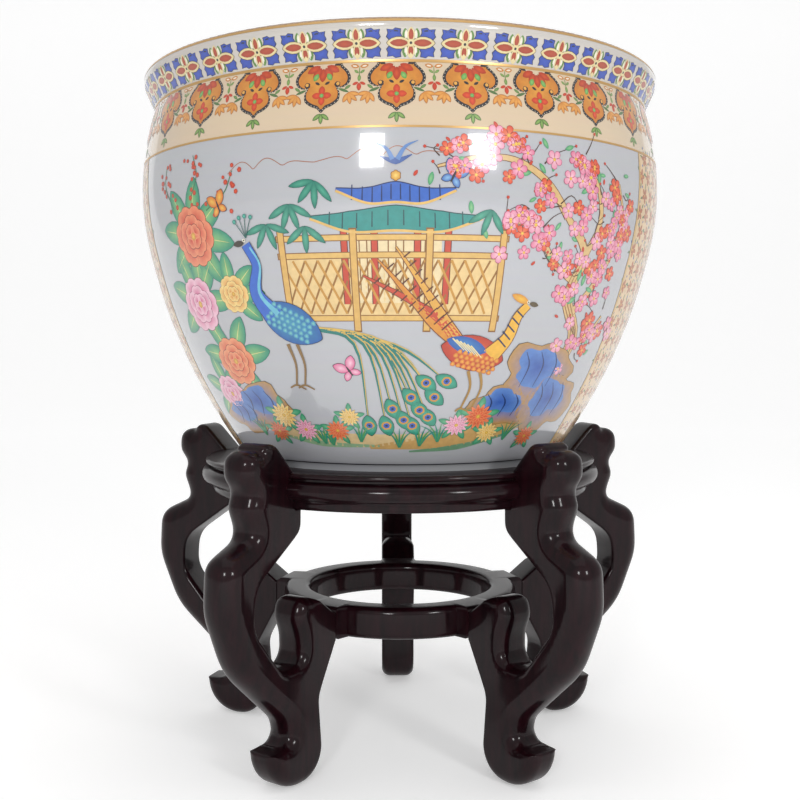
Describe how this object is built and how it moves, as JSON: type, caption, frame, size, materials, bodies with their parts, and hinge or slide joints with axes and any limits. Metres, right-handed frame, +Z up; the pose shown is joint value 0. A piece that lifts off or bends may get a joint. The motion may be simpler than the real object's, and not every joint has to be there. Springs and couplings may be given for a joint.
{
  "type": "jardiniere on stand",
  "caption": "Round porcelain fish bowl with a rolled lip, standing in the recessed seat of a dark lacquered scroll-leg stand with a lower ring",
  "frame": {"origin": "on the floor, on the common axis of bowl and stand", "axes": "+Z up along the axis; +Y towards the leg that stands at the back; +X to the right as seen from the front"},
  "size_m": [0.419, 0.4232, 0.5242],
  "materials": {
    "glazed_porcelain": "glossy glaze with overglaze enamels",
    "lacquered_hardwood": "gloss lacquer, near-black red",
    "bare_hardwood": "bare, glued"
  },
  "bodies": {
    "stand": {"leg_1": "lacquered_hardwood", "leg_2": "lacquered_hardwood", "leg_3": "lacquered_hardwood", "leg_4": "lacquered_hardwood", "leg_5": "lacquered_hardwood", "leg_tenons": "bare_hardwood", "scroll_tenons": "bare_hardwood", "seat_ring_segment_1": "lacquered_hardwood", "seat_ring_segment_2": "lacquered_hardwood", "seat_ring_segment_3": "lacquered_hardwood", "seat_ring_segment_4": "lacquered_hardwood", "seat_ring_segment_5": "lacquered_hardwood", "seat_ring_splines": "bare_hardwood", "seat_board": "lacquered_hardwood", "stretcher_segment_1": "lacquered_hardwood", "stretcher_segment_2": "lacquered_hardwood", "stretcher_segment_3": "lacquered_hardwood", "stretcher_segment_4": "lacquered_hardwood", "stretcher_segment_5": "lacquered_hardwood", "stretcher_splines": "bare_hardwood"},
    "bowl": {"bowl": "glazed_porcelain"}
  },
  "joints": [
    {"name": "bowl_lift", "type": "slide", "parent": "stand", "child": "bowl", "axis": [0, 0, 1], "range_m": [0, 0.12]}
  ]
}
